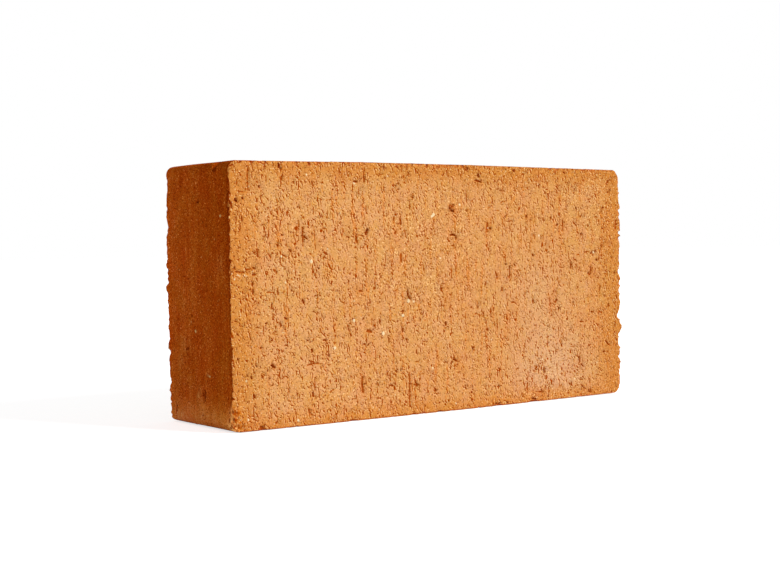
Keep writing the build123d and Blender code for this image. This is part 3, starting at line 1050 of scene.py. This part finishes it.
def skin_colour(sheet, clay, colours):
    """Skin of the -X end, deeper and redder partly as painted shade, plain further on, paler where
    it broke off, with painted shade in pores and along the end's front arris, and painted light
    near the foot.
    """
    # Painted shade across the -X end: darker towards its front arris, lighter towards its back.
    to_back = sheet.ramp(
        sheet.plus(clay.y, clay.wobble), -0.9 * HALF_THICKNESS * MM, HALF_THICKNESS * MM
    )
    deeper_and_shaded = sheet.mix(to_back, rgba(colours.skin_deep), rgba(colours.skin_warm))
    depth = sheet.plus(clay.y, sheet.times(clay.wobble, 0.3))
    # The -X end's skin turns redder along its back arris, and along its front arris a band of
    # painted shade darkens it.
    for start, end, *strengths, colour in (
        (0.80, 1.0, 0.0, 0.7, colours.skin_red),
        (-1.0, -0.92, 0.75, 0.0, colours.skin_dark_and_shade),
    ):
        near = sheet.ramp(
            depth, start * HALF_THICKNESS * MM, end * HALF_THICKNESS * MM, *strengths
        )
        deeper_and_shaded = sheet.mix(near, deeper_and_shaded, rgba(colour))
    # Tone of the skin: painted light from the floor makes it lighter within 20 mm of the foot, and
    # it is darker towards the top; sand, mottle, streaks, flecks and blotches vary it at random.
    tone = sheet.times(
        sheet.ramp(clay.sand, 0.28, 0.72, 0.73, 1.24),
        sheet.ramp(clay.mottle, 0.3, 0.7, 0.93, 1.07),
        sheet.ramp(clay.streaks, 0.3, 0.7, 0.92, 1.08),
        sheet.ramp(clay.level, 0.0, 20 * MM, 1.24, 1.0),
        sheet.ramp(clay.level, 2 * MM, 13 * MM, 1.33, 1.0),
        sheet.ramp(clay.level, HALF_WIDTH * MM, WIDTH * MM, 1.0, 0.93),
        sheet.ramp(clay.flecks, 0.70, 0.77, 1.0, 1.80),
        sheet.ramp(clay.flecks, 0.23, 0.33, 0.48, 1.0),
        sheet.ramp(clay.blotches, 0.3, 0.7, 0.93, 1.07),
    )
    tone = sheet.math("MINIMUM", tone, MOST_LIGHT)
    from_end = sheet.plus(clay.x, sheet.times(clay.wobble, 2.0))
    plain = sheet.ramp(from_end, (2 - HALF_LENGTH) * MM, (34 - HALF_LENGTH) * MM)
    inside = sheet.times(clay.broken, sheet.ramp(clay.mottle, 0.40, 0.58, 0.35, 1.0))
    paler = sheet.mix(inside, rgba(colours.skin_plain), rgba(colours.inside))
    colour = sheet.mix(
        sheet.most(plain, inside),
        sheet.toned(deeper_and_shaded, tone, END_SKIN_POWERS),
        sheet.toned(paler, tone, PLAIN_POWERS),
    )
    # Pores and other marks of the skin are painted dark, as the shade in them.
    return sheet.mix(clay.hollow, colour, rgba(colours.skin_dark_and_shade))


def clay_material(colours):
    """Fired clay: sandy cut faces with red-brown hollows, partly painted shade, and a deeper,
    closer die skin.
    """
    sheet = NodeSheet(bpy.data.materials.new("fired clay"))
    clay = clay_patterns(sheet)
    colour = sheet.mix(
        clay.die_skin, cut_colour(sheet, clay, colours), skin_colour(sheet, clay, colours)
    )

    # Broad drifts towards yellow or red, and less blue round every mark of the cut faces.
    drift = sheet.times(sheet.less(clay.hues, 0.5), sheet.ramp(clay.die_skin, 0.0, 1.0, 0.22, 0.60))
    green = sheet.plus(drift, 1.0)
    deep = sheet.ramp(sheet.math("ABSOLUTE", clay.shade), 0.01, 0.20)
    halo = sheet.most(fine_marks(sheet, clay, FINE_HALOS), deep)
    halo = sheet.times(halo, sheet.less(1.0, clay.die_skin))
    blue = sheet.times(green, sheet.ramp(halo, 0.0, 1.0, 1.0, 0.70))
    colour = sheet.mix(1.0, colour, sheet.rgb(1.0, green, blue), "MULTIPLY")

    # Painted contact shadow: the lowest millimetre of every face, where the brick meets the floor,
    # is mixed towards the dark skin colour.
    foot_shadow = sheet.ramp(clay.z, 0.3 * MM, 1.1 * MM, 0.45, 0.0)
    colour = sheet.mix(foot_shadow, colour, rgba(colours.skin_dark_and_shade))
    pale = sheet.most(
        sheet.ramp(clay.grain, 0.10, 0.70), sheet.ramp(clay.specks, 0.83, 0.86, 0.0, 0.6)
    )
    allowed = sheet.plus(clay.grain, sheet.less(1.0, clay.die_skin))
    pale = sheet.times(pale, sheet.math("GREATER_THAN", allowed, 0.02))
    grains = sheet.mix(clay.die_skin, rgba(colours.grain), rgba(colours.skin_grain))
    colour = sheet.mix(pale, colour, grains)

    height = sheet.plus(
        sheet.times(clay.sand, sheet.ramp(clay.die_skin, 0.0, 1.0, 0.28, 0.42)),
        sheet.times(clay.mottle, sheet.ramp(clay.die_skin, 0.0, 1.0, 0.35, 0.25)),
    )
    height = sheet.less(height, sheet.times(clay.fine, 1.10))
    height = sheet.times(height, sheet.ramp(clay.die_skin, 0.0, 1.0, 1.0, 0.85))
    relief = {"Height": height, "Strength": BUMP_STRENGTH, "Distance": BUMP_DISTANCE}
    shader = sheet.add(
        "ShaderNodeBsdfPrincipled",
        {
            "Base Color": colour,
            "Roughness": sheet.ramp(clay.mottle, 0.3, 0.7, 0.82, 0.95),
            "Normal": sheet.add("ShaderNodeBump", relief).outputs[0],
            "Specular IOR Level": 0.0,
        },
    )
    sheet.add("ShaderNodeOutputMaterial", {"Surface": shader.outputs[0]})
    return sheet.owner


def a_number(name, description, default, lowest=0.0, **more):
    """A number, with its unit or its upper limit where it has one."""
    return FloatProperty(name=name, description=description, default=default, min=lowest, **more)


def a_length(name, description, default, lowest=0.0):
    """A length in metres."""
    return a_number(name, description, default, lowest, unit="LENGTH")


def a_count(name, description, default, lowest=0):
    """A count."""
    return IntProperty(name=name, description=description, default=default, min=lowest)


def an_angle(name, description, degrees):
    """An angle, whose default is given in degrees."""
    default = math.radians(degrees)
    return FloatProperty(name=name, description=description, default=default, subtype="ANGLE")


def a_place(name, description, default):
    """A place in metres."""
    return FloatVectorProperty(
        name=name,
        description=description,
        default=default,
        size=3,
        subtype="TRANSLATION",
        unit="LENGTH",
    )


def a_colour(name, description, default):
    """A colour."""
    return FloatVectorProperty(
        name=name,
        description=description,
        default=default,
        size=3,
        min=0.0,
        max=1.0,
        subtype="COLOR",
    )


class BrickBodyProperties(bpy.types.PropertyGroup):
    """Sizes of the block and of its arrises."""

    die_corner_radius: a_length(
        "Die corner radius", "Radius of the column's rounded corners", 0.0035, 0.0005
    )
    arris_radius: a_length(
        "Arris radius", "How much of each cut arris has crumbled off", 0.00035, 0.0001
    )
    arris_wander: a_length("Arris wander", "How far the upright arrises stray in and out", 0.00014)
    raggedness: a_number("Raggedness", "Strength of the arrises' small chips", 1.0, max=2.0)
    top_bow: a_length("Top bow", "How far the middle of the top stands above its ends", 0.0005)
    top_lift: a_length("Top lift", "How much taller than the block the ends are", 0.0007)
    top_slope: a_length("Top slope", "How much the top falls from its middle to the +X end", 0.0002)
    foot_rise: a_length("Foot rise", "How far the ends of the foot stand off the floor", 0.0004)
    grid_spacing: a_length(
        "Grid spacing", "Distance between points before the flats are thinned", 0.00033, 0.0002
    )
    most_triangles: a_count("Most triangles", "Triangles left in the finished skin", 188000, 1000)
    seed: a_count("Seed", "Start of every random draw", 7)


class CutFaceProperties(bpy.types.PropertyGroup):
    """Relief of the two faces that the wire cut."""

    wave_depth: a_length("Wave depth", "Height of the broad waves", 0.00022)
    plate_depth: a_length("Plate depth", "Height of the low plates", 0.00005)
    marks: a_count("Marks", "Furrows, tears and pits drawn at random on a face", 600)
    mark_depth: a_number("Mark depth", "Factor on the depth of every mark", 1.0, max=2.0)
    grains: a_count("Pale grains", "Pale grains drawn at random on a face", 12, 1)


class DieSkinProperties(bpy.types.PropertyGroup):
    """Relief of the four faces that the die formed."""

    wave_depth: a_length("Wave depth", "Height of the low waves", 0.00016)
    pores: a_count("Pores", "Open pores and scuffs drawn at random round the brick", 420, 1)
    grains: a_count("Pale grains", "Pale grains drawn at random round the brick", 16, 1)


class ClayColourProperties(bpy.types.PropertyGroup):
    """Colours of the fired clay."""

    cut_sandy: a_colour("Cut face, sandy", "Yellower clay of the cut faces", (0.752, 0.354, 0.111))
    cut_pink: a_colour("Cut face, pink", "Pinker clay of the cut faces", (0.764, 0.366, 0.144))
    cut_orange: a_colour(
        "Cut face, orange", "Deeper clay along the cut faces' borders", (0.705, 0.272, 0.054)
    )
    cut_bloom: a_colour(
        "Cut face, bloom", "Paler, pinker clay of the front's blooms", (0.79, 0.445, 0.235)
    )
    # Pale sand flecks of the cut faces, and the painted highlights on the lips of their marks.
    cut_fleck_and_highlight: a_colour("Cut face, flecks", "Sand and lit lips of the cut faces", (1.0, 0.62, 0.28))
    stain: a_colour("Stain", "Orange clay round furrows, tears and pits", (0.74, 0.195, 0.016))
    # Darker clay inside the marks, together with the shade painted in them.
    hollow: a_colour("Hollows", "Red-brown clay inside the marks", (0.4, 0.055, 0.001))
    inside: a_colour("Inside", "Broken clay where the die skin has chipped off", (0.85, 0.3, 0.06))
    # The skin of the -X end, which lies in shade: deeper and redder than the plain skin, partly its
    # own colour and partly painted shade.
    skin_deep: a_colour(
        "Die skin, deep", "Flashed skin at the -X end, towards the front", (0.595, 0.101, 0.0045)
    )
    skin_warm: a_colour(
        "Die skin, warm", "Flashed skin at the -X end, towards the back", (0.75, 0.14, 0.01)
    )
    skin_red: a_colour(
        "Die skin, red", "Flashed skin at the -X end, along the back arris", (0.9, 0.14, 0.005)
    )
    skin_plain: a_colour(
        "Die skin, plain", "Die-formed faces away from the flashed end", (0.68, 0.19, 0.035)
    )
    skin_grain: a_colour("Die skin, grains", "Grains in the die-formed faces", (1.0, 0.6, 0.22))
    # Dark red used as painted shade: in the pores of the die skin, along the -X end's front arris,
    # and as the contact shadow along the foot.
    skin_dark_and_shade: a_colour(
        "Die skin, dark", "Pores, front arris and sole of the die skin", (0.36, 0.045, 0.001)
    )
    grain: a_colour("Pale grains", "Grains of grog and quartz", (1.0, 0.78, 0.46))


class StageProperties(bpy.types.PropertyGroup):
    """Camera, lamps and floor."""

    camera_place: a_place("Camera place", "Where the camera stands", (-0.3545, -0.4777, 0.0706))
    camera_yaw: an_angle("Camera yaw", "Turn from +Y towards +X", 35.83)
    camera_pitch: an_angle("Camera pitch", "Tilt upwards", -2.127)
    camera_roll: an_angle("Camera roll", "Turn about the line of sight", -0.866)
    camera_lens: a_number("Lens", "Focal length for a 36 mm sensor, in millimetres", 64.85, 10.0)
    key_power: a_number(
        "Key lamp", "Power of the main lamp", 69.0, subtype="POWER", unit="POWER"
    )
    key_place: a_place("Key place", "Where the main lamp hangs", (1.275, -2.21, 1.58))
    key_size: a_length("Key size", "Width of the main lamp's soft box", 0.765, 0.01)
    fill: a_number("Fill", "Strength of the even light from all round", 0.34)
    floor_colour: a_colour("Floor", "Colour of the floor", (0.8, 0.8, 0.8))


class OBJECT_OT_clay_brick(bpy.types.Operator):
    """Make the brick's skin with its cut faces, die skin, chips and colours"""

    bl_idname = "object.clay_brick"
    bl_label = "Clay brick"

    def execute(self, context):
        scene = context.scene
        body = scene.brick_body
        mesh = mesh_from(*brick_skin(body, scene.brick_cut, scene.brick_skin))
        if len(mesh.polygons) * 2 > body.most_triangles:
            mesh = thinned(mesh, body.most_triangles)
        add_map_and_faces(mesh, body.die_corner_radius / MM)
        mesh.name = PIECE
        mesh.materials.append(clay_material(scene.brick_colours))
        brick = bpy.data.objects.new(PIECE, mesh)
        scene.collection.objects.link(brick)
        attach(brick, BODY)
        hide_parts(NODE)
        return {"FINISHED"}


class SCENE_OT_brick_stage(bpy.types.Operator):
    """Make the camera, the lamps and the floor"""

    bl_idname = "scene.brick_stage"
    bl_label = "Brick stage"

    def execute(self, context):
        stage = context.scene.brick_stage
        add_camera(context.scene, stage)
        add_lights(context.scene, stage)
        add_floor(context.scene, stage)
        context.scene.view_settings.view_transform = "Standard"
        return {"FINISHED"}


def add_camera(scene, stage):
    """Camera at the height of the brick's middle, seeing one header and the front cut face."""
    data = bpy.data.cameras.new("camera")
    data.sensor_width = 36.0
    data.lens = stage.camera_lens
    data.clip_start, data.clip_end = 0.01, 20.0
    camera = bpy.data.objects.new("camera", data)
    camera.matrix_world = (
        Matrix.Translation(stage.camera_place)
        @ Matrix.Rotation(-stage.camera_yaw, 4, "Z")
        @ Matrix.Rotation(math.pi / 2 + stage.camera_pitch, 4, "X")
        @ Matrix.Rotation(stage.camera_roll, 4, "Z")
    )
    scene.collection.objects.link(camera)
    scene.camera = camera


def add_lights(scene, stage):
    """One soft box up and to the right of the camera, and an even fill that is seen as white."""
    data = bpy.data.lights.new("key", "AREA")
    data.shape = "SQUARE"
    data.size = stage.key_size
    data.energy = stage.key_power
    key = bpy.data.objects.new("key", data)
    aim = Vector((0, 0, HALF_WIDTH * MM)) - Vector(stage.key_place)
    turn = aim.to_track_quat("-Z", "Y").to_matrix().to_4x4()
    key.matrix_world = Matrix.Translation(stage.key_place) @ turn
    scene.collection.objects.link(key)

    scene.world = bpy.data.worlds.new("studio")
    sheet = NodeSheet(scene.world)
    strength = sheet.ramp(sheet.seen(), 0.0, 1.0, stage.fill, 1.0)
    white = sheet.add("ShaderNodeBackground", {"Color": (1, 1, 1, 1), "Strength": strength})
    sheet.add("ShaderNodeOutputWorld", {"Surface": white.outputs[0]})


def add_floor(scene, stage):
    """A wide pale floor, seen lifted to white, more so further out, with the brick's shadow."""
    far = FLOOR_REACH
    mesh = bpy.data.meshes.new("floor")
    mesh.from_pydata(
        [(-far, -far, 0), (far, -far, 0), (far, far, 0), (-far, far, 0)], [], [(0, 1, 2, 3)]
    )
    sheet = NodeSheet(bpy.data.materials.new("pale floor"))
    away = sheet.vector("LENGTH", sheet.add("ShaderNodeTexCoord").outputs["Object"])
    lift = sheet.times(sheet.seen(), sheet.ramp(away, LIFT_FROM, LIFT_TO, LEAST_LIFT, MOST_LIFT))
    matt = sheet.add("ShaderNodeBsdfDiffuse", {"Color": rgba(stage.floor_colour)})
    glow = sheet.add("ShaderNodeEmission", {"Strength": lift})
    both = sheet.add("ShaderNodeAddShader", {0: matt.outputs[0], 1: glow.outputs[0]})
    sheet.add("ShaderNodeOutputMaterial", {"Surface": both.outputs[0]})
    mesh.materials.append(sheet.owner)
    floor = bpy.data.objects.new("floor", mesh)
    scene.collection.objects.link(floor)


class VIEW3D_PT_brick(bpy.types.Panel):
    """Sizes, colours and buttons of the brick"""

    bl_idname = "VIEW3D_PT_brick"
    bl_label = "Clay brick"
    bl_space_type = "VIEW_3D"
    bl_region_type = "UI"
    bl_category = "Brick"

    def draw(self, context):
        layout = self.layout
        for group, words in GROUPS.values():
            box = layout.box()
            box.label(text=words)
            owner = getattr(context.scene, group)
            for key in owner.bl_rna.properties.keys():
                if key not in ("name", "rna_type"):
                    box.prop(owner, key)
        layout.operator(OBJECT_OT_clay_brick.bl_idname)
        layout.operator(SCENE_OT_brick_stage.bl_idname)


GROUPS = {
    BrickBodyProperties: ("brick_body", "Block and arrises"),
    CutFaceProperties: ("brick_cut", "Cut faces"),
    DieSkinProperties: ("brick_skin", "Die skin"),
    ClayColourProperties: ("brick_colours", "Colours"),
    StageProperties: ("brick_stage", "Stage"),
}
CLASSES = (*GROUPS, OBJECT_OT_clay_brick, SCENE_OT_brick_stage, VIEW3D_PT_brick)


def register():
    for made in CLASSES:
        bpy.utils.register_class(made)
    for made, (group, _) in GROUPS.items():
        setattr(bpy.types.Scene, group, PointerProperty(type=made))


def unregister():
    for group, _ in GROUPS.values():
        delattr(bpy.types.Scene, group)
    for made in reversed(CLASSES):
        bpy.utils.unregister_class(made)


def main():
    register()
    bpy.ops.object.clay_brick()
    bpy.ops.scene.brick_stage()


if __name__ == "__main__":
    main()
